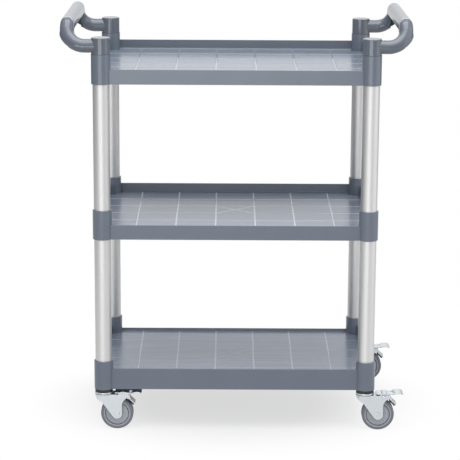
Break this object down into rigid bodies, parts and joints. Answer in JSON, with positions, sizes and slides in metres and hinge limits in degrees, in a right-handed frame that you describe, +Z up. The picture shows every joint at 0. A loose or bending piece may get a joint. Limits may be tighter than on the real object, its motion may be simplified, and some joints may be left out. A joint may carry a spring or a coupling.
{
  "type": "serving trolley",
  "caption": "Serving trolley with stacked rimmed plastic shelves on round aluminium uprights, a loop handle at each end and swivel castors with pedal brakes.",
  "frame": {"origin": "on the floor, under the middle of the trolley", "axes": "+X along the length to the right as seen from the front, +Y across the depth to the rear, +Z up; metres"},
  "size_m": [0.7924, 0.424, 0.9545],
  "materials": {
    "grey_plastic": "moulded, satin",
    "satin_aluminium": "drawn and satin anodised",
    "black_plastic": "moulded",
    "zinc_plated_steel": "bright zinc plate",
    "bearing_steel": "ground",
    "wheel_plastic": "moulded",
    "tyre_rubber": "smooth",
    "shoe_rubber": "smooth"
  },
  "bodies": {
    "frame": {"bottom_shelf": "grey_plastic", "middle_shelf": "grey_plastic", "top_shelf": "grey_plastic", "lower_front_left_upright": "satin_aluminium", "lower_front_right_upright": "satin_aluminium", "lower_rear_left_upright": "satin_aluminium", "lower_rear_right_upright": "satin_aluminium", "upper_front_left_upright": "satin_aluminium", "upper_front_right_upright": "satin_aluminium", "upper_rear_left_upright": "satin_aluminium", "upper_rear_right_upright": "satin_aluminium", "left_handle": "grey_plastic", "right_handle": "grey_plastic", "front_left_castor_plug": "black_plastic", "front_left_swivel_stem": "zinc_plated_steel", "front_left_swivel_balls": "bearing_steel", "front_right_castor_plug": "black_plastic", "front_right_swivel_stem": "zinc_plated_steel", "front_right_swivel_balls": "bearing_steel", "rear_left_castor_plug": "black_plastic", "rear_left_swivel_stem": "zinc_plated_steel", "rear_left_swivel_balls": "bearing_steel", "rear_right_castor_plug": "black_plastic", "rear_right_swivel_stem": "zinc_plated_steel", "rear_right_swivel_balls": "bearing_steel"},
    "front_left_castor_fork": {"front_left_fork": "zinc_plated_steel", "front_left_axle_bolt": "zinc_plated_steel", "front_left_axle_sleeve": "bearing_steel", "front_left_brake_pin": "zinc_plated_steel"},
    "front_left_wheel": {"front_left_wheel_core": "wheel_plastic", "front_left_tyre": "tyre_rubber"},
    "front_left_brake": {"front_left_brake_pedal": "zinc_plated_steel", "front_left_brake_shoe": "shoe_rubber"},
    "front_right_castor_fork": {"front_right_fork": "zinc_plated_steel", "front_right_axle_bolt": "zinc_plated_steel", "front_right_axle_sleeve": "bearing_steel", "front_right_brake_pin": "zinc_plated_steel"},
    "front_right_wheel": {"front_right_wheel_core": "wheel_plastic", "front_right_tyre": "tyre_rubber"},
    "front_right_brake": {"front_right_brake_pedal": "zinc_plated_steel", "front_right_brake_shoe": "shoe_rubber"},
    "rear_left_castor_fork": {"rear_left_fork": "zinc_plated_steel", "rear_left_axle_bolt": "zinc_plated_steel", "rear_left_axle_sleeve": "bearing_steel", "rear_left_brake_pin": "zinc_plated_steel"},
    "rear_left_wheel": {"rear_left_wheel_core": "wheel_plastic", "rear_left_tyre": "tyre_rubber"},
    "rear_left_brake": {"rear_left_brake_pedal": "zinc_plated_steel", "rear_left_brake_shoe": "shoe_rubber"},
    "rear_right_castor_fork": {"rear_right_fork": "zinc_plated_steel", "rear_right_axle_bolt": "zinc_plated_steel", "rear_right_axle_sleeve": "bearing_steel", "rear_right_brake_pin": "zinc_plated_steel"},
    "rear_right_wheel": {"rear_right_wheel_core": "wheel_plastic", "rear_right_tyre": "tyre_rubber"},
    "rear_right_brake": {"rear_right_brake_pedal": "zinc_plated_steel", "rear_right_brake_shoe": "shoe_rubber"}
  },
  "joints": [
    {"name": "front_left_swivel", "type": "hinge", "parent": "frame", "child": "front_left_castor_fork", "pos_m": [-0.303, -0.19, 0.0846], "axis": [0, 0, 1], "continuous": true},
    {"name": "front_left_roll", "type": "hinge", "parent": "front_left_castor_fork", "child": "front_left_wheel", "pos_m": [-0.2725, -0.19, 0.0375], "axis": [0, 1, 0], "continuous": true},
    {"name": "front_left_pedal", "type": "hinge", "parent": "front_left_castor_fork", "child": "front_left_brake", "pos_m": [-0.2585, -0.19, 0.0795], "axis": [0, 1, 0], "range_deg": [0, 8]},
    {"name": "front_right_swivel", "type": "hinge", "parent": "frame", "child": "front_right_castor_fork", "pos_m": [0.303, -0.19, 0.0846], "axis": [0, 0, 1], "continuous": true},
    {"name": "front_right_roll", "type": "hinge", "parent": "front_right_castor_fork", "child": "front_right_wheel", "pos_m": [0.3335, -0.19, 0.0375], "axis": [0, 1, 0], "continuous": true},
    {"name": "front_right_pedal", "type": "hinge", "parent": "front_right_castor_fork", "child": "front_right_brake", "pos_m": [0.3475, -0.19, 0.0795], "axis": [0, 1, 0], "range_deg": [0, 8]},
    {"name": "rear_left_swivel", "type": "hinge", "parent": "frame", "child": "rear_left_castor_fork", "pos_m": [-0.303, 0.19, 0.0846], "axis": [0, 0, 1], "continuous": true},
    {"name": "rear_left_roll", "type": "hinge", "parent": "rear_left_castor_fork", "child": "rear_left_wheel", "pos_m": [-0.2725, 0.19, 0.0375], "axis": [0, 1, 0], "continuous": true},
    {"name": "rear_left_pedal", "type": "hinge", "parent": "rear_left_castor_fork", "child": "rear_left_brake", "pos_m": [-0.2585, 0.19, 0.0795], "axis": [0, 1, 0], "range_deg": [0, 8]},
    {"name": "rear_right_swivel", "type": "hinge", "parent": "frame", "child": "rear_right_castor_fork", "pos_m": [0.303, 0.19, 0.0846], "axis": [0, 0, 1], "continuous": true},
    {"name": "rear_right_roll", "type": "hinge", "parent": "rear_right_castor_fork", "child": "rear_right_wheel", "pos_m": [0.3335, 0.19, 0.0375], "axis": [0, 1, 0], "continuous": true},
    {"name": "rear_right_pedal", "type": "hinge", "parent": "rear_right_castor_fork", "child": "rear_right_brake", "pos_m": [0.3475, 0.19, 0.0795], "axis": [0, 1, 0], "range_deg": [0, 8]}
  ]
}
